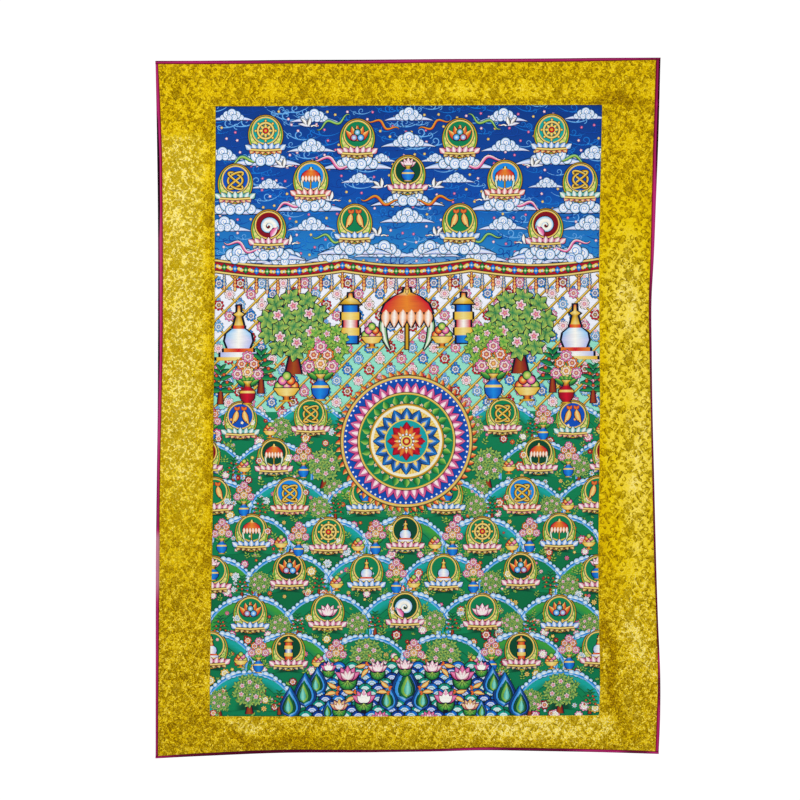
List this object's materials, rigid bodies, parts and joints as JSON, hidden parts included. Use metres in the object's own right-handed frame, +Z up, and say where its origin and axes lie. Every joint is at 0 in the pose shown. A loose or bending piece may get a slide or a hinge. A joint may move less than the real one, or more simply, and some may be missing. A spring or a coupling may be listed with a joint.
{
  "type": "thangka scroll painting",
  "caption": "Hanging cloth with a woven picture set in a gold brocade border and bound all round in magenta satin piping.",
  "frame": {"origin": "middle of the top edge, by which the cloth hangs", "axes": "+Z up the height of the cloth, +X to the right as seen from the front, the front of the cloth faces -Y"},
  "size_m": [0.748, 0.0171, 1.0378],
  "materials": {
    "picture_weave": "fine woven silk picture, slightly lustrous",
    "gold_brocade": "figured satin brocade with a silky lustre",
    "magenta_satin": "satin piping"
  },
  "bodies": {
    "root": {"picture_panel": "picture_weave", "brocade_top": "gold_brocade", "brocade_bottom": "gold_brocade", "brocade_left": "gold_brocade", "brocade_right": "gold_brocade", "binding_top": "magenta_satin", "binding_bottom": "magenta_satin", "binding_left": "magenta_satin", "binding_right": "magenta_satin"}
  },
  "joints": []
}
